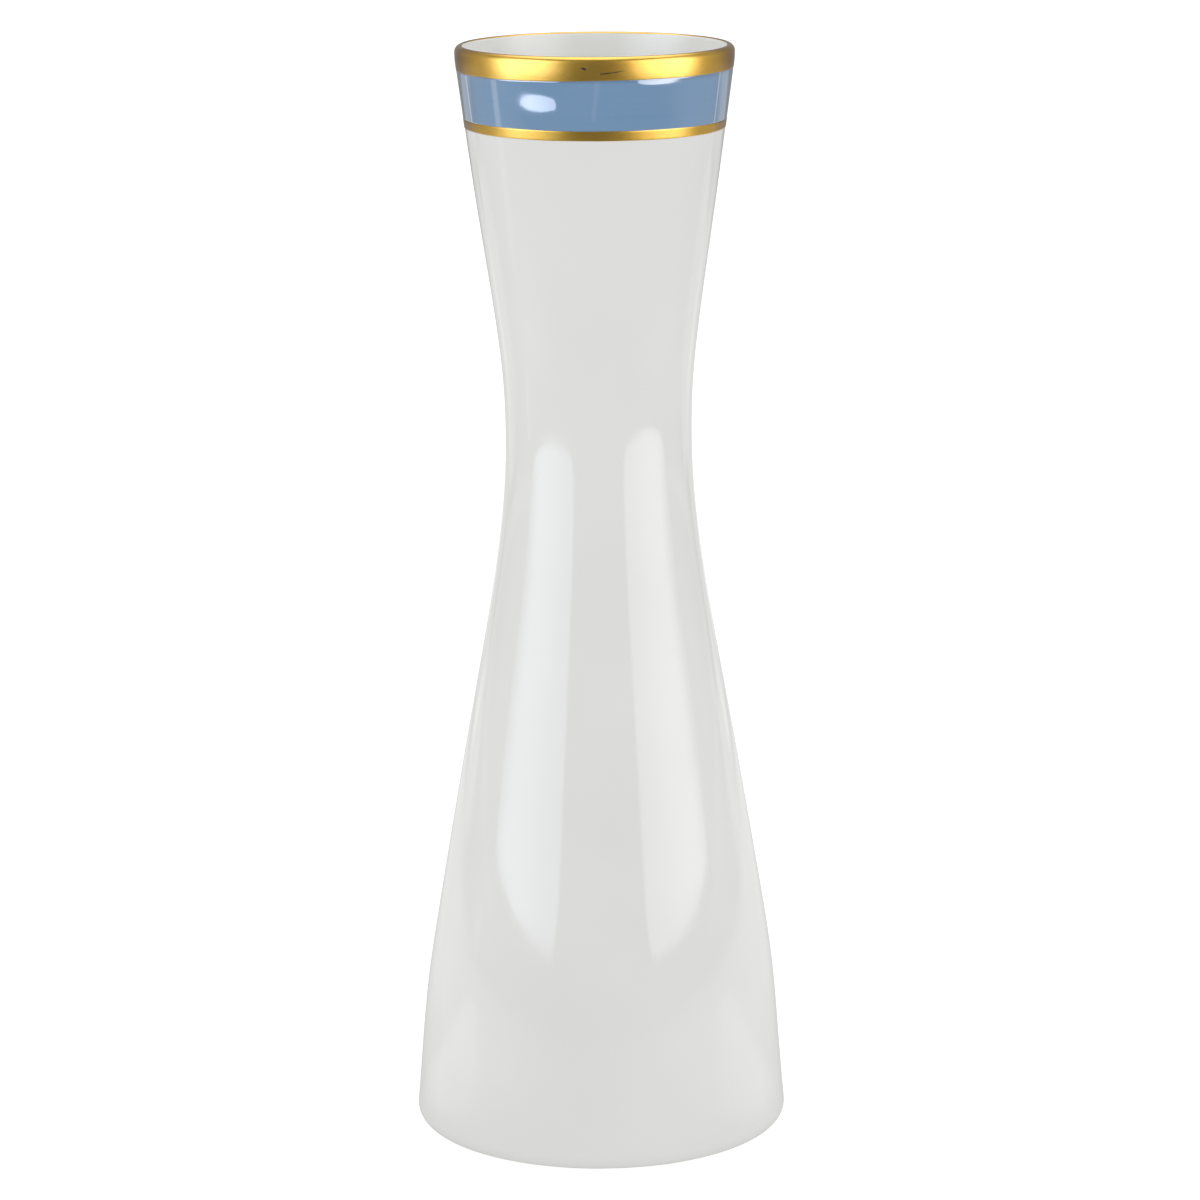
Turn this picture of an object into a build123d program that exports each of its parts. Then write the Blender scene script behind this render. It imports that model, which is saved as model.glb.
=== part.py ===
from build123d import *
import math
import os

# A slip-cast porcelain vase: a rounded heel, sides that taper to a waist, and a throat that flares to a
# straight cone, whose top rolls upright into a rounded lip. Each node is one real layer, so the glazes,
# the enamel and the gold are thin shells that lie face to face on what carries them.
#
# Frame: millimetres, +Z up, origin at the centre of the foot plane. Every section is drawn as
# (radius, height) in the XZ plane and turned about Z. An inset is a depth below the glazed surface.

# ---- Overall size ----
HEIGHT = 240.0            # foot plane to the gilded crest of the lip

# ---- Outside stations: radius, height, and lean from the vertical in degrees (+ is outwards) ----
HEEL_RADIUS = 41.2        # widest point of the vase
HEEL_ROUND = 3.0          # radius of the rounded heel, tangent to the foot plane
HEEL_LEAN = -5.0
BELLY_RADIUS = 30.9
BELLY_HEIGHT = 80.0
BELLY_LEAN = -9.8
WAIST_RADIUS = 20.35      # narrowest point
WAIST_HEIGHT = 155.5
WAIST_LEAN = 0.0
THROAT_RADIUS = 27.98     # above this station the wall is a straight cone
THROAT_HEIGHT = 222.0
THROAT_LEAN = 7.8

# ---- Lip, outside to inside: three rounds, each tangent to the next ----
ROLL_ROUND = 22.0         # turns the cone upright under the lip
LIP_ROUND = 1.35          # outer shoulder of the lip
CREST_ROUND = 0.70        # crest and inner side of the lip
CREST_START = 70.0        # where the crest's round takes over, in degrees above the outward direction

# ---- Pulls of the curves between stations, as shares of the rise (lower end, upper end) ----
HEEL_TO_BELLY = (0.45, 0.70)
BELLY_TO_WAIST = (0.45, 0.30)
WAIST_TO_THROAT = (0.28, 0.62)

# ---- Wall and floor ----
WAIST_WALL = 2.6
BELLY_WALL = 2.9
INSIDE_RADIUS = 36.9      # widest inside radius, just above the floor
INSIDE_ROUND = 9.0        # radius between the inside floor and the wall
FLOOR_HEIGHT = 6.0        # inside floor above the foot plane

# ---- Foot ----
RECESS_RADIUS = 33.0
RECESS_DEPTH = 2.2
RECESS_ROUND = 1.2
FOOT_CHAMFER = 0.4        # inner edge of the foot ring
FOOT_BARE_HEIGHT = 0.8    # unglazed height on the foot ring's inner side
HEEL_GLAZE_ANGLE = -55.0  # where the glaze is wiped back on the heel round, from the horizontal

# ---- Layers ----
GLAZE = 0.3
ENAMEL = 0.12
GOLD = 0.15

# ---- Banding on the straight cone, each band reaching up to the next ----
LINE_LOW = 222.35         # gilt line
BLUE_LOW = 224.4          # blue band
RIM_LOW = 235.0           # rim gilding, which goes on over the lip
GILT_END = 130.0          # where the gold ends inside the crest, in degrees above the outward direction


def on_circle(centre, radius, angle):
    """Point of a circle at an angle above the outward direction."""
    turn = math.radians(angle)
    return Vector(centre.X + radius * math.cos(turn), centre.Y + radius * math.sin(turn))


def upward(lean):
    """Upward direction at a lean from the vertical."""
    turn = math.radians(lean)
    return Vector(math.sin(turn), math.cos(turn))


def cone_point(height, proud=0.0):
    """Point of the straight cone under the lip, standing proud of the glaze by a normal distance."""
    lean = math.radians(THROAT_LEAN)
    flare = (height - THROAT_HEIGHT) * math.tan(lean)
    return Vector(THROAT_RADIUS + flare + proud / math.cos(lean), height)


# The crest with the gold on it reaches HEIGHT. From there the rounds' centres follow downwards.
CREST_TOP = 90.0
CREST_INNER = 180.0 - THROAT_LEAN
CREST_HEIGHT = HEIGHT - GOLD - CREST_ROUND
LIP_HEIGHT = CREST_HEIGHT - (LIP_ROUND - CREST_ROUND) * math.sin(math.radians(CREST_START))
ROLL_LOW = LIP_HEIGHT - ROLL_ROUND * math.sin(math.radians(THROAT_LEAN))
ROLL_CENTRE = on_circle(cone_point(ROLL_LOW), -ROLL_ROUND, -THROAT_LEAN)
LIP_CENTRE = on_circle(ROLL_CENTRE, ROLL_ROUND - LIP_ROUND, 0.0)
CREST_CENTRE = on_circle(LIP_CENTRE, LIP_ROUND - CREST_ROUND, CREST_START)

# The inside of the rim is a cone at the same lean, tangent to the crest's round.
CREST_TO_CONE = (cone_point(CREST_CENTRE.Y).X - CREST_CENTRE.X) * math.cos(math.radians(THROAT_LEAN))
RIM_WALL = CREST_TO_CONE + CREST_ROUND
HEEL_CENTRE = Vector(HEEL_RADIUS - HEEL_ROUND, HEEL_ROUND)
FLOOR_CENTRE = Vector(INSIDE_RADIUS - INSIDE_ROUND, FLOOR_HEIGHT + INSIDE_ROUND)


def heel_point(inset, angle):
    return on_circle(HEEL_CENTRE, HEEL_ROUND - inset, angle)


def roll_point(inset, angle):
    return on_circle(ROLL_CENTRE, ROLL_ROUND - inset, angle)


def crest_point(inset, angle):
    return on_circle(CREST_CENTRE, CREST_ROUND - inset, angle)


def crest_arc(inset, start, end):
    return CenterArc(CREST_CENTRE, CREST_ROUND - inset, start, end - start)


def outer_lip(inset, end):
    """Roll and shoulder of the lip, then its crest up to an angle."""
    roll = CenterArc(ROLL_CENTRE, ROLL_ROUND - inset, -THROAT_LEAN, THROAT_LEAN)
    shoulder = CenterArc(LIP_CENTRE, LIP_ROUND - inset, 0.0, CREST_START)
    return [roll, shoulder, crest_arc(inset, CREST_START, end)]


def side_curve(low, low_lean, high, high_lean, pulls):
    """Smooth curve between two stations that leaves each at its own lean."""
    rise = high.Y - low.Y
    low_grip = low + upward(low_lean) * (rise * pulls[0])
    high_grip = high - upward(high_lean) * (rise * pulls[1])
    return Bezier(low, low_grip, high_grip, high)


def side_curves(heel, belly, waist, throat):
    """The three curves of a wall, from the heel up to the straight cone."""
    lower = side_curve(heel, HEEL_LEAN, belly, BELLY_LEAN, HEEL_TO_BELLY)
    middle = side_curve(belly, BELLY_LEAN, waist, WAIST_LEAN, BELLY_TO_WAIST)
    upper = side_curve(waist, WAIST_LEAN, throat, THROAT_LEAN, WAIST_TO_THROAT)
    return [lower, middle, upper]


def outside(inset):
    """Outside line, from the wiped edge of the glaze up to the crest of the lip."""
    heel = heel_point(inset, -HEEL_LEAN)
    belly = Vector(BELLY_RADIUS - inset, BELLY_HEIGHT)
    waist = Vector(WAIST_RADIUS - inset, WAIST_HEIGHT)
    throat = cone_point(THROAT_HEIGHT, -inset)
    heel_arc = CenterArc(HEEL_CENTRE, HEEL_ROUND - inset, HEEL_GLAZE_ANGLE, -HEEL_LEAN - HEEL_GLAZE_ANGLE)
    cone = Line(throat, roll_point(inset, -THROAT_LEAN))
    return [heel_arc, *side_curves(heel, belly, waist, throat), cone, *outer_lip(inset, CREST_TOP)]


def inside(inset):
    """Inside line, from the crest of the lip down to the centre of the floor."""
    floor_round = INSIDE_ROUND + inset
    heel = on_circle(FLOOR_CENTRE, floor_round, -HEEL_LEAN)
    belly = Vector(BELLY_RADIUS - BELLY_WALL + inset, BELLY_HEIGHT)
    waist = Vector(WAIST_RADIUS - WAIST_WALL + inset, WAIST_HEIGHT)
    throat = cone_point(THROAT_HEIGHT, inset - RIM_WALL)
    cone = Line(throat, crest_point(inset, CREST_INNER))
    floor_arc = CenterArc(FLOOR_CENTRE, floor_round, -90.0, 90.0 - HEEL_LEAN)
    floor = Line((0.0, FLOOR_HEIGHT - inset), (FLOOR_CENTRE.X, FLOOR_HEIGHT - inset))
    lip = crest_arc(inset, CREST_TOP, CREST_INNER)
    return [lip, cone, *side_curves(heel, belly, waist, throat), floor_arc, floor]


def recess(inset):
    """Line under the vase inside the foot ring, from the edge of its glaze to the axis."""
    corner_round = RECESS_ROUND + inset
    corner = Vector(RECESS_RADIUS - RECESS_ROUND, RECESS_DEPTH - RECESS_ROUND)
    wall_radius = RECESS_RADIUS + inset
    ceiling = RECESS_DEPTH + inset
    wall = Line((wall_radius, FOOT_BARE_HEIGHT), (wall_radius, corner.Y))
    corner_arc = CenterArc(corner, corner_round, 0.0, 90.0)
    return [wall, corner_arc, Line((corner.X, ceiling), (0.0, ceiling))]


def turned(lines):
    """Solid of revolution about Z of the section that the lines enclose."""
    return revolve(Plane.XZ * make_face(Curve() + lines), Axis.Z)


def foot_ring():
    """Bare outline of the foot ring, from the recess's glaze to the heel's."""
    bare_top = (RECESS_RADIUS, FOOT_BARE_HEIGHT)
    chamfer_top = (RECESS_RADIUS, FOOT_CHAMFER)
    chamfer_low = (RECESS_RADIUS + FOOT_CHAMFER, 0.0)
    heel_low = (HEEL_CENTRE.X, 0.0)
    glaze_end = (RECESS_RADIUS + GLAZE, FOOT_BARE_HEIGHT)
    outline = Polyline(glaze_end, bare_top, chamfer_top, chamfer_low, heel_low)
    heel_arc = CenterArc(HEEL_CENTRE, HEEL_ROUND, -90.0, HEEL_GLAZE_ANGLE + 90.0)
    glaze_step = Line(heel_point(0.0, HEEL_GLAZE_ANGLE), heel_point(GLAZE, HEEL_GLAZE_ANGLE))
    return [outline, heel_arc, glaze_step]


def porcelain_body():
    """The fired porcelain under the glazes, with its bare foot ring."""
    axis = Line((0.0, RECESS_DEPTH + GLAZE), (0.0, FLOOR_HEIGHT - GLAZE))
    return turned([*outside(GLAZE), *inside(GLAZE), *recess(GLAZE), *foot_ring(), axis])


def outer_glaze():
    """White glaze over the outside, from the wiped heel to the crest of the lip."""
    low_end = Line(heel_point(0.0, HEEL_GLAZE_ANGLE), heel_point(GLAZE, HEEL_GLAZE_ANGLE))
    high_end = Line(crest_point(0.0, CREST_TOP), crest_point(GLAZE, CREST_TOP))
    return turned([*outside(0.0), *outside(GLAZE), low_end, high_end])


def inner_glaze():
    """Poured white glaze over the inside, which meets the outer glaze on the crest of the lip."""
    lip_end = Line(crest_point(0.0, CREST_TOP), crest_point(GLAZE, CREST_TOP))
    floor_end = Line((0.0, FLOOR_HEIGHT), (0.0, FLOOR_HEIGHT - GLAZE))
    return turned([*inside(0.0), *inside(GLAZE), lip_end, floor_end])


def base_glaze():
    """White glaze in the recess inside the foot ring."""
    rim_end = Line((RECESS_RADIUS, FOOT_BARE_HEIGHT), (RECESS_RADIUS + GLAZE, FOOT_BARE_HEIGHT))
    centre_end = Line((0.0, RECESS_DEPTH), (0.0, RECESS_DEPTH + GLAZE))
    return turned([*recess(0.0), *recess(GLAZE), rim_end, centre_end])


def band(low, high, thickness):
    """Ring painted round the straight cone."""
    corners = (
        cone_point(low),
        cone_point(low, thickness),
        cone_point(high, thickness),
        cone_point(high),
    )
    return turned([Polyline(*corners, close=True)])


def rim_gilding():
    """Gold from its painted edge on the cone, up and over the crest of the lip."""
    gold = -GOLD
    low_end = Line(cone_point(RIM_LOW), cone_point(RIM_LOW, GOLD))
    back = Line(cone_point(RIM_LOW), roll_point(0.0, -THROAT_LEAN))
    face = Line(cone_point(RIM_LOW, GOLD), roll_point(gold, -THROAT_LEAN))
    inner_end = Line(crest_point(0.0, GILT_END), crest_point(gold, GILT_END))
    return turned([low_end, back, face, *outer_lip(0.0, GILT_END), *outer_lip(gold, GILT_END), inner_end])


NODES = {
    "porcelain_body": porcelain_body(),
    "outer_glaze": outer_glaze(),
    "inner_glaze": inner_glaze(),
    "base_glaze": base_glaze(),
    "gilt_line": band(LINE_LOW, BLUE_LOW, GOLD),
    "blue_band": band(BLUE_LOW, RIM_LOW, ENAMEL),
    "rim_gilding": rim_gilding(),
}

os.makedirs("parts", exist_ok=True)
for name, shape in NODES.items():
    export_step(shape, f"parts/{name}.step")
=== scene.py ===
import math

import bmesh
import bpy
import numpy as np
from mathutils import Matrix, Vector


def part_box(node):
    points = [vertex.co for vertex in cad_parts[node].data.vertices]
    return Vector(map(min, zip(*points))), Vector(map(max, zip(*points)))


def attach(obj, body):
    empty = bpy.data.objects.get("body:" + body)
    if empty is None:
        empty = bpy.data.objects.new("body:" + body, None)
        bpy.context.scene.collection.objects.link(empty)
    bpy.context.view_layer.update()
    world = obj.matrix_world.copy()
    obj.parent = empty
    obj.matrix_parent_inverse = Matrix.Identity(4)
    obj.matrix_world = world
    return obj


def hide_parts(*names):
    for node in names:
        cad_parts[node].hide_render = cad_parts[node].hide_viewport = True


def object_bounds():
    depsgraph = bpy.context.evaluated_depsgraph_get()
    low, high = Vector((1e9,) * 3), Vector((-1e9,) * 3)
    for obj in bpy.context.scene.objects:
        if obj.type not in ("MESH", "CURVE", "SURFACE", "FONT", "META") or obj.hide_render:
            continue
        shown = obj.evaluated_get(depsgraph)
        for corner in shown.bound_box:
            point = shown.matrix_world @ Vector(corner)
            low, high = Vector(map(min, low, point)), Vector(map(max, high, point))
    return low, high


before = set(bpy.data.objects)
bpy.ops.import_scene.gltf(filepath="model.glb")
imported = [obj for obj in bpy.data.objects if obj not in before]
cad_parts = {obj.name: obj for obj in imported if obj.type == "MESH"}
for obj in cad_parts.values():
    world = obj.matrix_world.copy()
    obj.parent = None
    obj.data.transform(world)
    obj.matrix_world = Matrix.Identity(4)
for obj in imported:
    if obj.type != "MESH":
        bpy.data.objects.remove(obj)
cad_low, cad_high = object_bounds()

# The looks of a waisted porcelain vase. Every layer of the real pot is a closed lathe mesh: its section
# is drawn as (radius, height) and turned about Z, with the slow unevenness of a cast, hand-banded piece.
# An inset is a depth below the glazed surface.
# Metres in the part's frame. An angle round the vase is measured from its front (-Y) towards +X.

MM = 0.001

# ---- Sizes that the frame gives ----
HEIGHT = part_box("rim_gilding")[1].z
HEEL_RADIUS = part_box("outer_glaze")[1].x
RIM_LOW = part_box("rim_gilding")[0].z
BLUE_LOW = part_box("blue_band")[0].z
LINE_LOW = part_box("gilt_line")[0].z

# ---- Outside stations: radius, height, lean from the vertical in degrees. They are as in the part, but
# the throat leans a little less ----
HEEL_ROUND = 3.0 * MM
HEEL_LEAN = -5.0
BELLY_RADIUS = 30.9 * MM
BELLY_HEIGHT = 80.0 * MM
BELLY_LEAN = -9.8
WAIST_RADIUS = 20.35 * MM
WAIST_HEIGHT = 155.5 * MM
WAIST_LEAN = 0.0
THROAT_RADIUS = 27.98 * MM
THROAT_HEIGHT = 222.0 * MM
THROAT_LEAN = 7.55
HEEL_TO_BELLY = (0.45, 0.70)
BELLY_TO_WAIST = (0.45, 0.30)
WAIST_TO_THROAT = (0.28, 0.62)

# ---- Lip, wall, floor and foot, as in the part ----
ROLL_ROUND = 22.0 * MM
LIP_ROUND = 1.35 * MM
CREST_ROUND = 0.70 * MM
CREST_START = 70.0
WAIST_WALL = 2.6 * MM
BELLY_WALL = 2.9 * MM
INSIDE_RADIUS = 36.9 * MM
INSIDE_ROUND = 9.0 * MM
FLOOR_HEIGHT = 6.0 * MM
RECESS_RADIUS = 33.0 * MM
RECESS_DEPTH = 2.2 * MM
RECESS_ROUND = 1.2 * MM
FOOT_CHAMFER = 0.4 * MM
FOOT_BARE_HEIGHT = 0.8 * MM
HEEL_GLAZE_ANGLE = -55.0

# ---- Layers: the glaze is as in the part, the paints are thinner ----
GLAZE = 0.3 * MM
ENAMEL = 0.05 * MM
GOLD = 0.09 * MM
PAINT_EDGE = 0.10 * MM    # rounding of a painted edge

# ---- Mesh density ----
TURNS = 360               # steps round the vase
CURVE_STEPS = 64          # steps along each curve of the wall
ARC_STEPS = 14

# ---- Unevenness of the fired wall ----
THROAT_DRIFT = 0.45 * MM  # how far the firing pulled the throat and the foot to one side
FOOT_DRIFT = 0.35 * MM
WAVES = (                 # waves round the vase, phase, twist from foot to rim, size
    (2.0, 0.8, 2.1, 0.045 * MM),
    (3.0, -1.3, 7.0, 0.022 * MM),
    (5.0, 2.2, -11.0, 0.010 * MM),
)
SLOW_WAVE = (15.0, 0.9, 0.4, 0.018 * MM)  # waves up the vase, sway, its phase, size
SETTLED = 8.0 * MM        # the unevenness fades below this height, so that the foot stands flat

# ---- Hand-painted edges: wander, its phase, and tilt across the vase ----
RIM_EDGE = (0.12 * MM, 0.6, 0.22 * MM)
BLUE_EDGE = (0.07 * MM, 2.9, -0.05 * MM)
LINE_EDGE = (0.08 * MM, 4.4, -0.05 * MM)

# ---- Flaws in the rim gold: start and end as degrees from the front and depth below the crest, reach ----
FLAWS = (
    ((-5.8, 2.3 * MM), (-4.6, 2.5 * MM), 0.40 * MM),
    ((1.4, 3.5 * MM), (5.5, 3.3 * MM), 0.24 * MM),
    ((5.5, 3.3 * MM), (11.2, 2.9 * MM), 0.18 * MM),
)

# ---- Looks ----
WHITE = 0.762             # share of the light that the glazed porcelain returns
OUTER_LOOK = (WHITE, 0.05)  # each glaze: that share, and its roughness
# painted light: the inside glaze is a lighter copy of the outer one
INNER_PAINTED_LIGHT_LOOK = (WHITE * 1.14, 0.20)
BASE_LOOK = (WHITE * 0.97, 0.08)
GLAZE_IOR = 1.5
PORCELAIN_TINT = (0.992, 1.0, 0.972)
BISCUIT_TINT = (1.03, 1.0, 0.95)
SOIL = (0.36, 0.30, 0.24, 1.0)
ENAMEL_TONES = ((0.182, 0.333, 0.543, 1.0), (0.189, 0.342, 0.554, 1.0))
ENAMEL_CLOUD = (0.203, 0.352, 0.548, 1.0)
ENAMEL_PAINTED_SHADE = (0.09, 0.16, 0.26, 1.0)  # painted shade where the enamel meets the rim gold
ENAMEL_BUILD = 0.31 * MM  # how much thicker the enamel grows upwards, in shading alone
ENAMEL_IOR = 2.0
ENAMEL_COAT_IOR = 2.1
GOLD_TONES = ((0.90, 0.53, 0.055, 1.0), (0.96, 0.59, 0.080, 1.0))
GOLD_STREAK = (0.74, 0.42, 0.06, 1.0)
# painted shade: the gold's colour towards grazing angles
GOLD_GRAZING_PAINTED_SHADE = (0.27, 0.155, 0.030, 1.0)
GOLD_EDGE_TINT = (0.80, 0.55, 0.22, 1.0)
GOLD_WORN = (0.05, 0.03, 0.015, 1.0)
GOLD_COAT_IOR = 1.65

# ---- Light ----
WORLD_GLOW = 1.0
FLOOR_GLOW = 0.8
FLOOR_HALF = 6.0
SOFTBOX_SIDE = 0.68
SOFTBOX_DISTANCE = 0.555
SOFTBOX_CORNER = 0.09
SOFTBOX_GLOW = 3.0
# Brightness across a softbox, from -1 at the camera's side to 1: from and to a place, brightness at each
SOFTBOX_FALL = (-1.0, 0.2, 0.62, 1.0)
SOFTBOX_NEAR_EDGE = (-1.0, -0.86, 0.0, 1.0)
SOFTBOX_FAR_EDGE = (0.4, 1.0, 1.0, 0.3)
SOFTBOXES = (             # name, degrees from the front, height of the lower edge, colour
    ("softbox_left", -60.0, 0.051, (0.92, 0.97, 1.14)),
    ("softbox_right", 60.0, 0.047, (1.0, 0.98, 1.0)),
)
ROOM_RADIUS = 3.0
ROOM_GLOW = 0.14
CEILING_GLOW = 1.8
CEILING_RISE = 75.0       # degrees of its middle above the horizon, behind the vase
CEILING_SPREAD = 30.0     # degrees from its middle to its edge
CEILING_SOFT = 8.0        # half the width of its soft edge, in degrees
WALL_GLOW = 0.34          # glow of the room beside the vase and behind it
WALL_RISE = (-0.30, 0.15)  # where ROOM_GLOW turns into it, from the front (-1) to the back (1)
TABLE_HALF = 2.5
TABLE_FRONT = -0.35       # the lit table starts behind this line
TABLE_NEAR = (0.42, 0.58)  # distances over which the light near the vase fades
TABLE_RING = (1.0, 1.15, 1.3, 1.45)  # distances over which a ring of light rises and fades
TABLE_GLOW = (0.8, 0.15, 0.24)  # near the vase, further off, and in the ring
BESIDE_START = (0.03, 0.16)  # distances to the side over which the light on the table grows
TABLE_BESIDE = (0.6, 1.0)  # share of it in front of the vase or behind it, and beside it
SHED_BESIDE = (0.72, 1.12)  # the same for the light from under the table
SHED_SHADE = 0.7          # share of that light right under the vase
SHED_NEAR = (0.08, 0.35, 1.20, 1.0)  # from and to a distance, brightness at each
TABLE_STREAKS = (         # degrees from the front, start, end and half width in metres, glow
    (-94.0, 0.60, 0.80, 0.060, 0.40),
    (-137.0, 0.92, 1.15, 0.030, 0.45),
    (129.0, 0.92, 1.15, 0.030, 0.45),
    (2.0, 0.60, 0.80, 0.030, 0.12),
    (-88.0, 0.09, 0.26, 0.045, 0.45),
    (84.0, 0.09, 0.26, 0.045, 0.40),
    (-134.0, 0.66, 0.80, 0.220, 0.50),
    (134.0, 0.66, 0.80, 0.220, 0.50),
    (-153.0, 0.70, 0.92, 0.240, 0.42),
    (153.0, 0.70, 0.92, 0.240, 0.45),
    (180.0, 0.70, 1.05, 0.350, 0.45),
)

# ---- Camera: metres, degrees and millimetres of lens and sensor ----
CAMERA_DISTANCE = 0.950
CAMERA_HEIGHT = 0.3289
CAMERA_PITCH = 12.517
CAMERA_ROLL = -0.33
CAMERA_LENS = 132.62
CAMERA_SENSOR = 36.0


# ======================================================================================
# Section lines
# ======================================================================================

def on_circle(centre, radius, degrees):
    """Point of a circle at an angle above the outward direction."""
    turn = np.radians(degrees)
    return np.array([centre[0] + radius * np.cos(turn), centre[1] + radius * np.sin(turn)])


def arc(centre, radius, start, end, steps=ARC_STEPS):
    """Points of an arc, one per row."""
    return on_circle(centre, radius, np.linspace(start, end, steps + 1)).T


def upward(lean):
    """Upward direction at a lean from the vertical, in degrees."""
    return np.array([math.sin(math.radians(lean)), math.cos(math.radians(lean))])


def cone_point(height, proud=0.0):
    """Point of the straight cone under the lip, standing proud of the glaze."""
    lean = math.radians(THROAT_LEAN)
    flare = (height - THROAT_HEIGHT) * math.tan(lean)
    return np.array([THROAT_RADIUS + flare + proud / math.cos(lean), height])


CREST_TOP = 90.0
CREST_INNER = 180.0 - THROAT_LEAN
GILT_END = 130.0          # where the gold ends inside the crest
GILT_WANDER = (6.0, 3.0)  # how far that end strays, in its slow and its quick waves
GILT_THINNING = 6.0       # how far before its end the gold's face stops
CREST_HEIGHT = HEIGHT - GOLD - CREST_ROUND
LIP_HEIGHT = CREST_HEIGHT - (LIP_ROUND - CREST_ROUND) * math.sin(math.radians(CREST_START))
ROLL_LOW = LIP_HEIGHT - ROLL_ROUND * math.sin(math.radians(THROAT_LEAN))
ROLL_CENTRE = on_circle(cone_point(ROLL_LOW), -ROLL_ROUND, -THROAT_LEAN)
LIP_CENTRE = on_circle(ROLL_CENTRE, ROLL_ROUND - LIP_ROUND, 0.0)
CREST_CENTRE = on_circle(LIP_CENTRE, LIP_ROUND - CREST_ROUND, CREST_START)
CREST_TO_CONE = (cone_point(CREST_CENTRE[1])[0] - CREST_CENTRE[0]) * math.cos(math.radians(THROAT_LEAN))
RIM_WALL = CREST_TO_CONE + CREST_ROUND
HEEL_CENTRE = np.array([HEEL_RADIUS - HEEL_ROUND, HEEL_ROUND])
FLOOR_CENTRE = np.array([INSIDE_RADIUS - INSIDE_ROUND, FLOOR_HEIGHT + INSIDE_ROUND])


def side_curve(low, low_lean, high, high_lean, pulls):
    """Cubic curve between two stations that leaves each at its own lean."""
    rise = high[1] - low[1]
    low_grip = low + upward(low_lean) * (rise * pulls[0])
    high_grip = high - upward(high_lean) * (rise * pulls[1])
    t = np.linspace(0.0, 1.0, CURVE_STEPS + 1)[:, None]
    s = 1.0 - t
    return s**3 * low + 3 * s * s * t * low_grip + 3 * s * t * t * high_grip + t**3 * high


def side_curves(heel, belly, waist, throat):
    lower = side_curve(heel, HEEL_LEAN, belly, BELLY_LEAN, HEEL_TO_BELLY)
    middle = side_curve(belly, BELLY_LEAN, waist, WAIST_LEAN, BELLY_TO_WAIST)
    upper = side_curve(waist, WAIST_LEAN, throat, THROAT_LEAN, WAIST_TO_THROAT)
    return join(lower, middle, upper)


def join(*lines):
    """One line from several that meet end to end."""
    points = [lines[0]]
    for line in lines[1:]:
        points.append(line[1:])
    return np.vstack(points)


def straight(start, end, steps=1):
    t = np.linspace(0.0, 1.0, steps + 1)[:, None]
    return np.array(start) * (1.0 - t) + np.array(end) * t


def outer_lip(inset, end):
    """Roll and shoulder of the lip, then its crest up to an angle."""
    return join(
        arc(ROLL_CENTRE, ROLL_ROUND - inset, -THROAT_LEAN, 0.0, 8),
        arc(LIP_CENTRE, LIP_ROUND - inset, 0.0, CREST_START, 10),
        arc(CREST_CENTRE, CREST_ROUND - inset, CREST_START, end, 8),
    )


def outside_line(inset):
    """Outside, from the wiped edge of the glaze up to the crest of the lip."""
    heel = on_circle(HEEL_CENTRE, HEEL_ROUND - inset, -HEEL_LEAN)
    belly = np.array([BELLY_RADIUS - inset, BELLY_HEIGHT])
    waist = np.array([WAIST_RADIUS - inset, WAIST_HEIGHT])
    throat = cone_point(THROAT_HEIGHT, -inset)
    cone_end = on_circle(ROLL_CENTRE, ROLL_ROUND - inset, -THROAT_LEAN)
    return join(
        arc(HEEL_CENTRE, HEEL_ROUND - inset, HEEL_GLAZE_ANGLE, -HEEL_LEAN),
        side_curves(heel, belly, waist, throat),
        straight(throat, cone_end, 8),
        outer_lip(inset, CREST_TOP),
    )


def inside_line(inset):
    """Inside, from the centre of the floor up to the crest of the lip."""
    floor_round = INSIDE_ROUND + inset
    heel = on_circle(FLOOR_CENTRE, floor_round, -HEEL_LEAN)
    belly = np.array([BELLY_RADIUS - BELLY_WALL + inset, BELLY_HEIGHT])
    waist = np.array([WAIST_RADIUS - WAIST_WALL + inset, WAIST_HEIGHT])
    throat = cone_point(THROAT_HEIGHT, inset - RIM_WALL)
    cone_end = on_circle(CREST_CENTRE, CREST_ROUND - inset, CREST_INNER)
    floor_edge = (FLOOR_CENTRE[0], FLOOR_HEIGHT - inset)
    return join(
        straight((0.0, FLOOR_HEIGHT - inset), floor_edge, 10),
        arc(FLOOR_CENTRE, floor_round, -90.0, -HEEL_LEAN),
        side_curves(heel, belly, waist, throat),
        straight(throat, cone_end, 8),
        arc(CREST_CENTRE, CREST_ROUND - inset, CREST_INNER, CREST_TOP, 10),
    )


def recess_line(inset):
    """Under the vase, from the glaze's edge on the foot ring to the axis."""
    corner = (RECESS_RADIUS - RECESS_ROUND, RECESS_DEPTH - RECESS_ROUND)
    wall_radius = RECESS_RADIUS + inset
    ceiling = RECESS_DEPTH + inset
    return join(
        straight((wall_radius, FOOT_BARE_HEIGHT), (wall_radius, corner[1])),
        arc(corner, RECESS_ROUND + inset, 0.0, 90.0),
        straight((corner[0], ceiling), (0.0, ceiling), 10),
    )


# ======================================================================================
# Lathe
# ======================================================================================

def unevenness(theta, height):
    """How far the cast wall stands out or in, in metres: slow waves, the same for every layer."""
    rise = height / HEIGHT
    waves_up, sway, sway_phase, slow_size = SLOW_WAVE
    stray = slow_size * np.sin(waves_up * rise + sway * np.sin(theta + sway_phase))
    for waves, phase, twist, size in WAVES:
        stray = stray + size * np.sin(waves * theta + phase + twist * rise)
    return np.clip(height / SETTLED, 0.0, 1.0) * stray


def smooth_step(values, low, high):
    """0 below low, 1 above high, with a smooth rise between them."""
    share = np.clip((values - low) / (high - low), 0.0, 1.0)
    return share * share * (3.0 - 2.0 * share)


def kiln_lean(heights):
    """How far the fired throat and foot stray to the left, in metres."""
    throat = THROAT_DRIFT * smooth_step(heights, WAIST_HEIGHT - 25 * MM, THROAT_HEIGHT)
    foot = FOOT_DRIFT * smooth_step(-heights, -50 * MM, -15 * MM)
    return throat + foot


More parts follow.
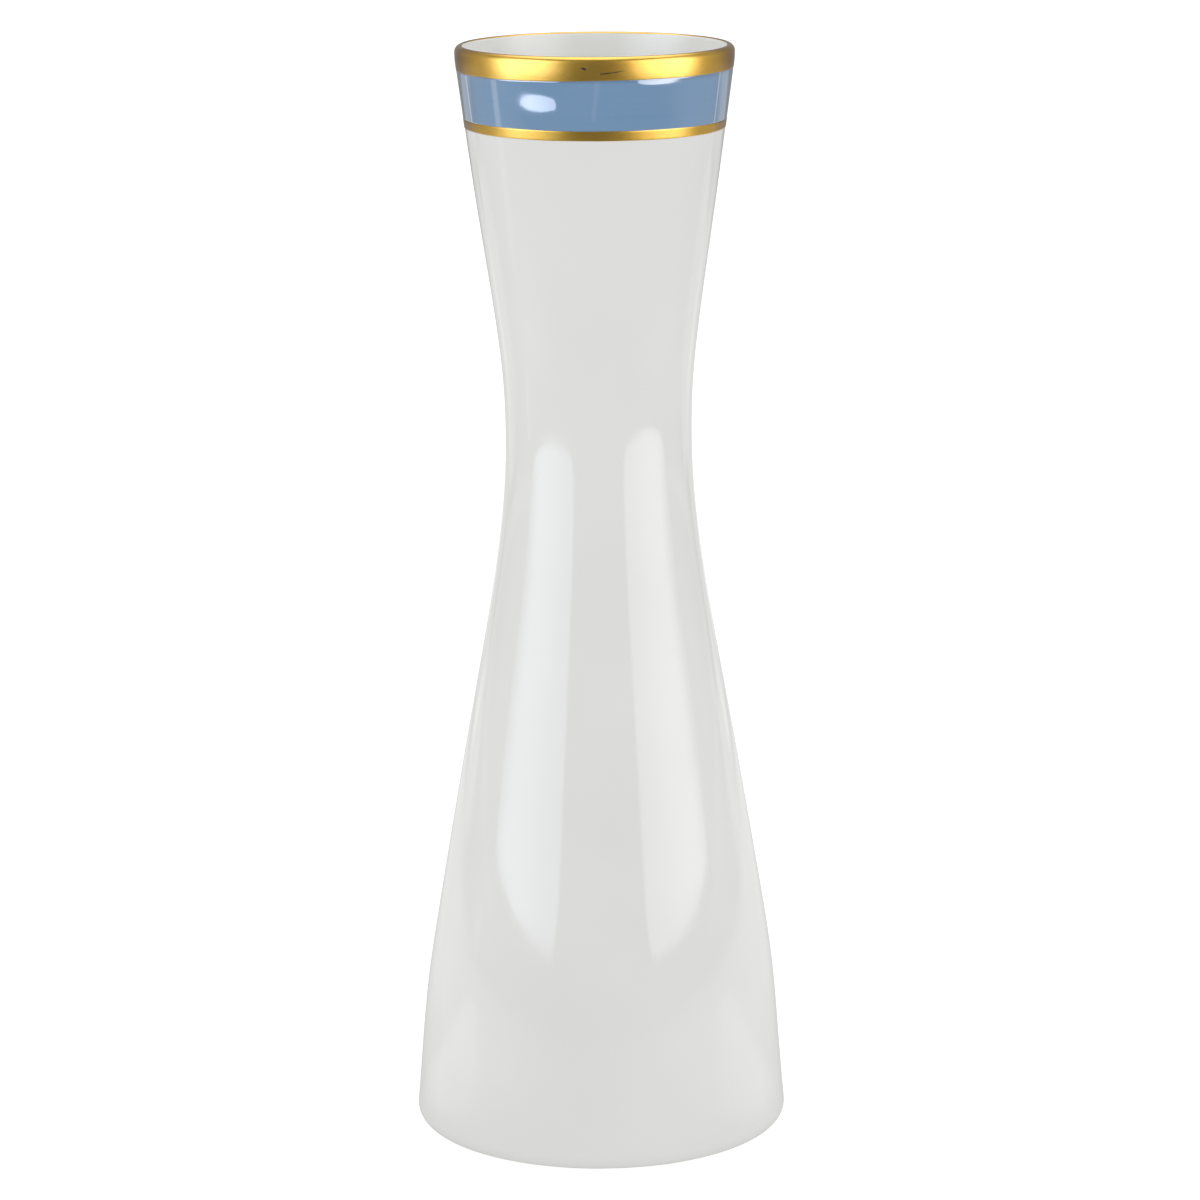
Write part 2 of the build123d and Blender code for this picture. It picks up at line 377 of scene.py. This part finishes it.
def lathe(name, section, material, sharp_degrees=40.0):
    """Mesh of a section turned about Z. section(theta) gives its points, anticlockwise, at an angle from
    the front. Points on the axis are welded into one, and the last point joins the first."""
    rows = []
    for step in range(TURNS):
        theta = 2.0 * math.pi * step / TURNS
        points = section(theta)
        radius = points[:, 0]
        on_axis = radius < 1e-9
        pushed = np.where(on_axis, 0.0, radius + unevenness(theta, points[:, 1]))
        across = np.where(on_axis, 0.0, pushed * math.sin(theta) - kiln_lean(points[:, 1]))
        rows.append(np.column_stack([across, -pushed * math.cos(theta), points[:, 1]]))
    count = len(rows[0])
    grid = np.array(rows).reshape(-1, 3)
    poles = [i for i in range(count) if on_axis[i]]
    faces = []
    for step in range(TURNS):
        here = step * count
        there = ((step + 1) % TURNS) * count
        for i in range(count):
            j = (i + 1) % count
            corners = [
                i if i in poles else here + i,
                i if i in poles else there + i,
                j if j in poles else there + j,
                j if j in poles else here + j,
            ]
            kept = [c for n, c in enumerate(corners) if c != corners[n - 1]]
            if len(kept) > 2:
                faces.append(kept)
    used = sorted({c for face in faces for c in face})
    place = {old: new for new, old in enumerate(used)}
    mesh = bpy.data.meshes.new(name)
    mesh.from_pydata(grid[used].tolist(), [], [[place[c] for c in face] for face in faces])
    mesh.validate()
    mesh.shade_smooth()
    mesh.set_sharp_from_angle(angle=math.radians(sharp_degrees))
    mesh.materials.append(material)
    piece = bpy.data.objects.new(name, mesh)
    bpy.context.scene.collection.objects.link(piece)
    return piece


# ======================================================================================
# Node helpers
# ======================================================================================

class Graph:
    """A material's node tree around one Principled shader, built a node at a time."""

    def __init__(self, name):
        self.material = bpy.data.materials.new(name)
        self.material.use_nodes = True
        self.tree = self.material.node_tree
        self.tree.nodes.clear()
        self.shader = self.add("ShaderNodeBsdfPrincipled")
        output = self.add("ShaderNodeOutputMaterial")
        self.tree.links.new(self.shader.outputs["BSDF"], output.inputs["Surface"])
        self.place = self.add("ShaderNodeTexCoord").outputs["Object"]

    def add(self, kind, **settings):
        node = self.tree.nodes.new(kind)
        for name, value in settings.items():
            setattr(node, name, value)
        return node

    def feed(self, socket, value):
        """Sets a socket to a value, or links it to another node's output."""
        if isinstance(value, bpy.types.NodeSocket):
            self.tree.links.new(value, socket)
        else:
            socket.default_value = value

    def set(self, **values):
        """Feeds the shader's sockets; an underscore in a name stands for a space."""
        for name, value in values.items():
            self.feed(self.shader.inputs[name.replace("_", " ")], value)

    def math(self, operation, a, b=0.0):
        node = self.add("ShaderNodeMath", operation=operation)
        self.feed(node.inputs[0], a)
        self.feed(node.inputs[1], b)
        return node.outputs[0]

    def vector(self, operation, a, b=(0.0, 0.0, 0.0), output="Vector"):
        node = self.add("ShaderNodeVectorMath", operation=operation)
        self.feed(node.inputs[0], a)
        self.feed(node.inputs[1], b)
        return node.outputs[output]

    def axis(self, letter):
        node = self.add("ShaderNodeSeparateXYZ")
        self.feed(node.inputs[0], self.place)
        return node.outputs[letter]

    def ramp(self, value, low, high, to_low=0.0, to_high=1.0):
        """Smooth step of a value between two limits."""
        node = self.add("ShaderNodeMapRange", interpolation_type="SMOOTHSTEP")
        for socket, number in zip(node.inputs, (value, low, high, to_low, to_high)):
            self.feed(socket, number)
        return node.outputs[0]

    def mix(self, share, a, b):
        node = self.add("ShaderNodeMix", data_type="RGBA")
        self.feed(node.inputs["Factor"], share)
        self.feed(node.inputs[6], a)
        self.feed(node.inputs[7], b)
        return node.outputs[2]

    def noise(self, size, detail=2.0, stretch=(1.0, 1.0, 1.0), roughness=0.5):
        """Noise whose features are about size metres across, times the stretch along each axis."""
        scale = [1.0 / (size * s) for s in stretch]
        node = self.add("ShaderNodeTexNoise")
        node.inputs["Scale"].default_value = 1.0
        node.inputs["Detail"].default_value = detail
        node.inputs["Roughness"].default_value = roughness
        self.feed(node.inputs["Vector"], self.vector("MULTIPLY", self.place, scale))
        return node.outputs[0]

    def bump(self, height, depth, after=None):
        """Relief that stands depth metres deep where height goes from 0 to 1."""
        node = self.add("ShaderNodeBump")
        node.inputs["Strength"].default_value = 1.0
        node.inputs["Distance"].default_value = depth
        self.feed(node.inputs["Height"], height)
        if after is not None:
            self.feed(node.inputs["Normal"], after)
        return node.outputs[0]

    def near_segment(self, start, end, reach):
        """1 on a short straight mark between two points, falling to 0 at its reach."""
        along = Vector(end) - Vector(start)
        offset = self.vector("SUBTRACT", self.place, start)
        share = self.vector("DOT_PRODUCT", offset, tuple(along / along.length_squared), "Value")
        share = self.math("MINIMUM", self.math("MAXIMUM", share, 0.0), 1.0)
        scaled = self.add("ShaderNodeVectorMath", operation="SCALE")
        scaled.inputs[0].default_value = along
        self.feed(scaled.inputs["Scale"], share)
        gap = self.vector("LENGTH", self.vector("SUBTRACT", offset, scaled.outputs[0]), output="Value")
        return self.ramp(gap, reach * 0.4, reach, 1.0, 0.0)


# ======================================================================================
# Materials
# ======================================================================================

def tint(value, colour=(1.0, 1.0, 1.0)):
    return (value * colour[0], value * colour[1], value * colour[2], 1.0)


def glaze_material(name, white, gloss):
    """Clear gloss over white porcelain: cloudy tone, faint orange peel, slight changes of gloss."""
    g = Graph(name)
    cloud = g.noise(30 * MM, detail=3.0)
    swirl = g.noise(9 * MM)
    peel = g.noise(2.2 * MM, detail=1.0)
    pale = tint(white * 1.012, PORCELAIN_TINT)
    deep = tint(white * 0.988, PORCELAIN_TINT)
    relief = g.bump(swirl, 5e-6, after=g.bump(peel, 1e-6))
    g.set(Base_Color=g.mix(g.ramp(cloud, 0.3, 0.7), deep, pale), Normal=relief, IOR=GLAZE_IOR)
    g.set(Roughness=g.ramp(swirl, 0.2, 0.8, gloss, gloss + 0.03))
    return g.material


def biscuit_material():
    """Bare fired porcelain: matt, gritty, slightly soiled where the foot has been rubbing."""
    g = Graph("biscuit")
    grit = g.noise(0.35 * MM, detail=4.0, roughness=0.7)
    soil = g.noise(7 * MM, detail=4.0)
    clean = g.mix(grit, tint(0.58, BISCUIT_TINT), tint(0.70, BISCUIT_TINT))
    tone = g.mix(g.ramp(soil, 0.48, 0.75, 0.0, 0.55), clean, SOIL)
    g.set(Base_Color=tone, Roughness=g.ramp(grit, 0.2, 0.8, 0.55, 0.85), Normal=g.bump(grit, 3e-5))
    return g.material


def enamel_material():
    """Grey-blue onglaze enamel, rich in lead and so very glossy, laid on with a banding brush."""
    g = Graph("blue_enamel")
    strokes = g.noise(1.4 * MM, detail=2.0, stretch=(30.0, 30.0, 1.0))
    cloud = g.noise(12 * MM)
    peel = g.noise(2.6 * MM, detail=1.0)
    laid = g.mix(g.ramp(strokes, 0.25, 0.75), *ENAMEL_TONES)
    tone = g.mix(g.ramp(cloud, 0.35, 0.7, 0.0, 0.5), laid, ENAMEL_CLOUD)
    # Painted shade: the enamel turns darker just below the rim gold.
    shade_under_gold = g.ramp(g.axis("Z"), RIM_LOW - 0.7 * MM, RIM_LOW - 0.1 * MM, 0.0, 0.35)
    tone = g.mix(shade_under_gold, tone, ENAMEL_PAINTED_SHADE)
    build = g.bump(g.ramp(g.axis("Z"), BLUE_LOW - 3 * MM, BLUE_LOW + 23 * MM), ENAMEL_BUILD)
    relief = g.bump(peel, 8e-7, after=build)
    g.set(Base_Color=tone, Roughness=g.ramp(cloud, 0.2, 0.8, 0.03, 0.06), Normal=relief)
    g.set(IOR=ENAMEL_IOR, Coat_IOR=ENAMEL_COAT_IOR)
    g.set(Coat_Weight=1.0, Coat_Roughness=0.03, Coat_Normal=relief)
    return g.material


def gold_material(name, flaws):
    """Fired gold, burnished round the vase: satin, faintly streaked, with worn specks and a few flaws.
    Its base colour is darkened towards grazing angles, a painted shade."""
    g = Graph(name)
    streak = g.noise(0.30 * MM, detail=3.0, stretch=(40.0, 40.0, 1.0))
    cloud = g.noise(5 * MM, detail=3.0)
    speck = g.noise(0.55 * MM)
    tone = g.mix(g.ramp(cloud, 0.3, 0.7), *GOLD_TONES)
    tone = g.mix(g.ramp(streak, 0.35, 0.8, 0.0, 0.12), tone, GOLD_STREAK)
    # Painted shade: the gold's base colour darkens towards grazing angles.
    facing = g.add("ShaderNodeLayerWeight").outputs["Facing"]
    tone = g.mix(g.ramp(facing, 0.45, 0.80, 0.0, 0.85), tone, GOLD_GRAZING_PAINTED_SHADE)
    worn = g.ramp(speck, 0.72, 0.80)
    for start, end, reach in flaws:
        worn = g.math("MAXIMUM", worn, g.near_segment(start, end, reach))
    tone = g.mix(worn, tone, GOLD_WORN)
    relief = g.bump(worn, -2e-5, after=g.bump(cloud, 6e-6))
    g.set(Base_Color=tone, Metallic=g.ramp(worn, 0.0, 1.0, 1.0, 0.2), Normal=relief)
    g.set(Roughness=g.ramp(streak, 0.2, 0.8, 0.31, 0.34))
    g.set(Specular_Tint=GOLD_EDGE_TINT, Coat_IOR=GOLD_COAT_IOR)
    g.set(Coat_Weight=1.0, Coat_Roughness=0.22)
    return g.material


def floor_material():
    """Pale matt paper, lit a little from below as on a light table."""
    g = Graph("pale_floor")
    fibre = g.noise(3 * MM, detail=3.0)
    g.set(Base_Color=g.mix(fibre, tint(0.32), tint(0.35)), Roughness=0.8, Normal=g.bump(fibre, 2e-5))
    g.set(Emission_Color=tint(1.0), Emission_Strength=FLOOR_GLOW, Specular_IOR_Level=0.2)
    return g.material


# ======================================================================================
# Painted layers
# ======================================================================================

def hand_edge(theta, size, phase, tilt):
    """How far a hand-painted edge strays from its level line, in metres."""
    wander = 0.55 * math.sin(2 * theta + phase) + 0.3 * math.sin(5 * theta + 1.7 * phase)
    quick = 0.15 * math.sin(13 * theta + 2.3 * phase)
    return size * (wander + quick) + tilt * math.sin(theta)


def rim_low(theta):
    return RIM_LOW + hand_edge(theta, *RIM_EDGE)


def blue_low(theta):
    return BLUE_LOW + hand_edge(theta, *BLUE_EDGE)


def line_low(theta):
    return LINE_LOW + hand_edge(theta, *LINE_EDGE)


# Pools where the enamel dried thicker: degrees from the front, height, height of the pool, and how far
# it spreads round and up.
POOLS = (
    (-10.0, 226.4 * MM, 0.350 * MM, 13.5, 3.6 * MM),
    (19.0, 233.5 * MM, 0.075 * MM, 7.5, 1.2 * MM),
    (4.4, 232.2 * MM, 0.012 * MM, 1.0, 0.45 * MM),
    (24.0, 227.0 * MM, 0.006 * MM, 1.6, 0.5 * MM),
    (128.0, 229.0 * MM, 0.050 * MM, 14.0, 2.2 * MM),
    (205.0, 231.0 * MM, 0.045 * MM, 10.0, 1.9 * MM),
)


def enamel_swell(theta, heights):
    """Extra thickness of the enamel at an angle and heights, in metres."""
    swell = np.zeros(len(heights))
    for degrees, height, size, spread_round, spread_up in POOLS:
        turn = (math.degrees(theta) - degrees + 180.0) % 360.0 - 180.0
        across = math.exp(-0.5 * (turn / spread_round) ** 2)
        swell = swell + size * across * np.exp(-0.5 * ((heights - height) / spread_up) ** 2)
    return swell


def rounded_edge(low, up, out, thickness):
    """Rounded edge of a painted layer that starts at a point on the cone: up along it and out."""
    turn = np.radians(np.linspace(0.0, 90.0, 5))[:, None]
    return low + up * PAINT_EDGE * (1.0 - np.cos(turn)) + out * thickness * np.sin(turn)


def painted(low, high, thickness, swell=None, theta=0.0, steps=8):
    """Section of a ring painted on the cone, with rounded edges: up its face, then down its back."""
    up = upward(THROAT_LEAN)
    out = np.array([up[1], -up[0]])
    low_edge = rounded_edge(cone_point(low), up, out, thickness)
    high_edge = rounded_edge(cone_point(high), -up, out, thickness)
    face = straight(low_edge[-1], high_edge[-1], steps)
    if swell is not None:
        face = face + np.outer(swell(theta, face[:, 1]), out)
    return np.vstack([low_edge[:-1], face, high_edge[-2::-1]])


def coat_section(line, inset):
    """Section of a glaze coat: its face, then its back."""
    return np.vstack([line(0.0), line(inset)[::-1]])


def body_section():
    """The porcelain under the glazes, with the bare foot ring flush with them."""
    chamfer_low = (RECESS_RADIUS + FOOT_CHAMFER, 0.0)
    foot = join(
        straight((RECESS_RADIUS, FOOT_BARE_HEIGHT), (RECESS_RADIUS, FOOT_CHAMFER), 2),
        straight((RECESS_RADIUS, FOOT_CHAMFER), chamfer_low, 2),
        straight(chamfer_low, (HEEL_CENTRE[0], 0.0), 6),
        arc(HEEL_CENTRE, HEEL_ROUND, -90.0, HEEL_GLAZE_ANGLE),
    )
    under = recess_line(GLAZE)[::-1]
    return np.vstack([under, foot, outside_line(GLAZE), inside_line(GLAZE)[-2::-1]])


def rim_section(theta):
    """Gold from its painted edge, up the cone and over the crest of the round lip."""
    up = upward(THROAT_LEAN)
    out = np.array([up[1], -up[0]])
    low_edge = rounded_edge(cone_point(rim_low(theta)), up, out, GOLD)
    slow, quick = GILT_WANDER
    inner_end = GILT_END + slow * math.sin(2 * theta + 1.3) + quick * math.sin(5 * theta)
    face = straight(low_edge[-1], on_circle(ROLL_CENTRE, ROLL_ROUND + GOLD, -THROAT_LEAN), 4)
    lip = outer_lip(-GOLD, inner_end - GILT_THINNING)
    back = outer_lip(0.0, inner_end)[::-1]
    return np.vstack([low_edge[:-1], face, lip[1:], back])


# ======================================================================================
# Pieces
# ======================================================================================

def place(piece, node, slot):
    """Rides a piece on the vase in a CAD node's stead."""
    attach(piece, "root")
    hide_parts(node)


def on_rim(degrees, below):
    """Point on the gold's face at an angle from the front and a depth below the crest."""
    radius = cone_point(HEIGHT - below, GOLD)[0]
    turn = math.radians(degrees)
    return (radius * math.sin(turn), -radius * math.cos(turn), HEIGHT - below)


def make_pot():
    white = glaze_material("outer_white", *OUTER_LOOK)
    # The inside glaze is painted lighter than the outside, as painted light.
    lit_inside = glaze_material("inner_white", *INNER_PAINTED_LIGHT_LOOK)
    under = glaze_material("base_white", *BASE_LOOK)
    body = lathe("porcelain_pot", lambda theta: body_section(), biscuit_material())
    place(body, "porcelain_body", "biscuit_porcelain")
    outer = lathe("outer_glaze_coat", lambda theta: coat_section(outside_line, GLAZE), white)
    place(outer, "outer_glaze", "outer_white_glaze")
    inner = lathe("inner_glaze_coat", lambda theta: coat_section(inside_line, GLAZE), lit_inside)
    place(inner, "inner_glaze", "inner_white_glaze")
    base = lathe("base_glaze_coat", lambda theta: coat_section(recess_line, GLAZE), under)
    place(base, "base_glaze", "base_white_glaze")


def blue_section(theta):
    return painted(blue_low(theta), rim_low(theta), ENAMEL, enamel_swell, theta, 72)


def line_section(theta):
    return painted(line_low(theta), blue_low(theta), GOLD)


def make_banding():
    flaws = [(on_rim(*start), on_rim(*end), reach) for start, end, reach in FLAWS]
    band = lathe("blue_enamel_band", blue_section, enamel_material())
    place(band, "blue_band", "blue_enamel")
    line = lathe("gilt_band_line", line_section, gold_material("line_gold", ()))
    place(line, "gilt_line", "line_gold")
    rim = lathe("gilded_rim", rim_section, gold_material("rim_gold", flaws))
    place(rim, "rim_gilding", "rim_gold")


# ======================================================================================
# Stage, light and camera
# ======================================================================================

def mesh_object(name, points, faces, material):
    mesh = bpy.data.meshes.new(name)
    mesh.from_pydata(points, [], faces)
    mesh.materials.append(material)
    made = bpy.data.objects.new(name, mesh)
    bpy.context.scene.collection.objects.link(made)
    return made


def square(name, half, height, material):
    """Level square about the vase's axis."""
    corners = [(-1, -1), (1, -1), (1, 1), (-1, 1)]
    points = [(half * x, half * y, height) for x, y in corners]
    return mesh_object(name, points, [(0, 1, 2, 3)], material)


def make_floor():
    """Floor that only the camera sees. The gloss sees the table instead, and the table's light stands in
    for what the floor would shed on the vase."""
    floor = square("floor", FLOOR_HALF, cad_low.z, floor_material())
    floor.visible_glossy = False
    floor.visible_diffuse = False


def glow_material(name, strength, colour=(1.0, 1.0, 1.0)):
    """Emission only; strength is a number or a function that builds it in the graph."""
    g = Graph(name)
    value = strength(g) if callable(strength) else strength
    g.set(Base_Color=tint(0.0), Roughness=1.0, Specular_IOR_Level=0.0)
    g.set(Emission_Color=tint(1.0, colour), Emission_Strength=value)
    return g.material


def only_reflected(card):
    """The card shows in gloss alone, so it shapes highlights and leaves the even light as it is."""
    card.visible_camera = False
    card.visible_diffuse = False
    card.visible_shadow = False


def upright_card(name, turn, distance, bottom, size, corner, material):
    """Upright rounded card that faces the vase, at degrees from the front."""
    width, height = size
    x, z = width / 2.0 - corner, height / 2.0 - corner
    points = []
    for start, corner_x, corner_z in ((0.0, x, z), (90.0, -x, z), (180.0, -x, -z), (270.0, x, -z)):
        for px, pz in arc((corner_x, corner_z), corner, start, start + 90.0, 8):
            points.append((px, 0.0, pz))
    card = mesh_object(name, points, [tuple(range(len(points)))], material)
    turned = math.radians(turn)
    middle = bottom + height / 2.0
    card.location = (distance * math.sin(turned), -distance * math.cos(turned), middle)
    card.rotation_euler = (0.0, 0.0, turned)
    only_reflected(card)


def softbox(name, turn, bottom, colour):
    """Softbox whose light falls off towards the camera's side."""
    side = math.copysign(1.0, turn)
    half = SOFTBOX_SIDE / 2.0

    def strength(g):
        outward = g.math("MULTIPLY", g.axis("X"), side / half)
        fall = g.ramp(outward, *SOFTBOX_FALL)
        edge = g.math("MULTIPLY", g.ramp(outward, *SOFTBOX_NEAR_EDGE), g.ramp(outward, *SOFTBOX_FAR_EDGE))
        return g.math("MULTIPLY", g.math("MULTIPLY", fall, edge), SOFTBOX_GLOW)

    material = glow_material(name + "_glow", strength, colour)
    size = (SOFTBOX_SIDE, SOFTBOX_SIDE)
    upright_card(name, turn, SOFTBOX_DISTANCE, bottom, size, SOFTBOX_CORNER, material)


def make_room():
    """What the gloss sees besides the softboxes: a dim room with a bright ceiling that comes down
    behind the vase."""

    def strength(g):
        direction = g.vector("NORMALIZE", g.place)
        rise = math.radians(CEILING_RISE)
        toward = g.vector("DOT_PRODUCT", direction, (0.0, math.cos(rise), math.sin(rise)), "Value")
        outer = math.cos(math.radians(CEILING_SPREAD + CEILING_SOFT))
        inner = math.cos(math.radians(CEILING_SPREAD - CEILING_SOFT))
        north = g.add("ShaderNodeSeparateXYZ")
        g.feed(north.inputs[0], direction)
        walls = g.ramp(north.outputs["Y"], *WALL_RISE, ROOM_GLOW, WALL_GLOW)
        return g.math("MAXIMUM", walls, g.ramp(toward, outer, inner, 0.0, CEILING_GLOW))

    mesh = bpy.data.meshes.new("room")
    shell = bmesh.new()
    bmesh.ops.create_icosphere(shell, subdivisions=3, radius=ROOM_RADIUS)
    shell.to_mesh(mesh)
    shell.free()
    mesh.materials.append(glow_material("room_glow", strength))
    room = bpy.data.objects.new("room", mesh)
    bpy.context.scene.collection.objects.link(room)
    only_reflected(room)


def beside(g, low, high):
    """Light on the table: weak in front of the vase and behind it, strong beside it."""
    return g.ramp(g.math("ABSOLUTE", g.axis("X")), *BESIDE_START, low, high)


def make_table():
    """White table top as the gloss sees it, and the light that it sheds on the vase."""

    def gloss(g):
        distance = g.vector("LENGTH", g.place, output="Value")
        behind = g.ramp(g.axis("Y"), TABLE_FRONT, 0.0)
        near = g.ramp(distance, *TABLE_NEAR, *TABLE_GLOW[:2])
        rising = g.ramp(distance, *TABLE_RING[:2])
        far = g.math("MULTIPLY", rising, g.ramp(distance, *TABLE_RING[2:], TABLE_GLOW[2], 0.0))
        lit = g.math("MULTIPLY", behind, g.math("ADD", near, far))
        lit = g.math("MULTIPLY", lit, beside(g, *TABLE_BESIDE))
        for degrees, start, end, reach, glow in TABLE_STREAKS:
            turn = math.radians(degrees)
            out = Vector((math.sin(turn), -math.cos(turn), 0.0))
            streak = g.near_segment(tuple(out * start), tuple(out * end), reach)
            lit = g.math("ADD", lit, g.math("MULTIPLY", streak, glow))
        return g.math("ADD", lit, ROOM_GLOW)

    def shed(g):
        distance = g.vector("LENGTH", g.place, output="Value")
        shade = g.ramp(distance, RECESS_RADIUS, HEEL_RADIUS * 1.05, SHED_SHADE, 1.0)
        close = g.ramp(distance, *SHED_NEAR)
        return g.math("MULTIPLY", beside(g, *SHED_BESIDE), g.math("MULTIPLY", shade, close))

    table = square("table", TABLE_HALF, cad_low.z, glow_material("table_glow", gloss))
    only_reflected(table)
    light = square("table_light", FLOOR_HALF, cad_low.z - MM, glow_material("table_light_glow", shed))
    only_reflected(light)
    light.visible_glossy = False
    light.visible_diffuse = True


def make_world():
    """Even white light from all round, which the camera sees as a white backdrop."""
    world = bpy.data.worlds.new("studio")
    bpy.context.scene.world = world
    world.use_nodes = True
    background = world.node_tree.nodes["Background"]
    background.inputs["Color"].default_value = tint(1.0)
    background.inputs["Strength"].default_value = WORLD_GLOW
    world.cycles_visibility.glossy = False


def make_camera():
    data = bpy.data.cameras.new("camera")
    data.sensor_width = CAMERA_SENSOR
    data.lens = CAMERA_LENS
    data.clip_start = 0.05
    data.clip_end = 50.0
    camera = bpy.data.objects.new("camera", data)
    tilt = Matrix.Rotation(math.radians(90.0 - CAMERA_PITCH), 4, "X")
    roll = Matrix.Rotation(math.radians(CAMERA_ROLL), 4, "Z")
    camera.matrix_world = Matrix.Translation((0.0, -CAMERA_DISTANCE, CAMERA_HEIGHT)) @ tilt @ roll
    bpy.context.scene.collection.objects.link(camera)
    bpy.context.scene.camera = camera


make_pot()
make_banding()
make_floor()
for box_name, box_turn, box_bottom, box_colour in SOFTBOXES:
    softbox(box_name, box_turn, box_bottom, box_colour)
make_room()
make_table()
make_world()
make_camera()
bpy.context.scene.view_settings.view_transform = "Standard"
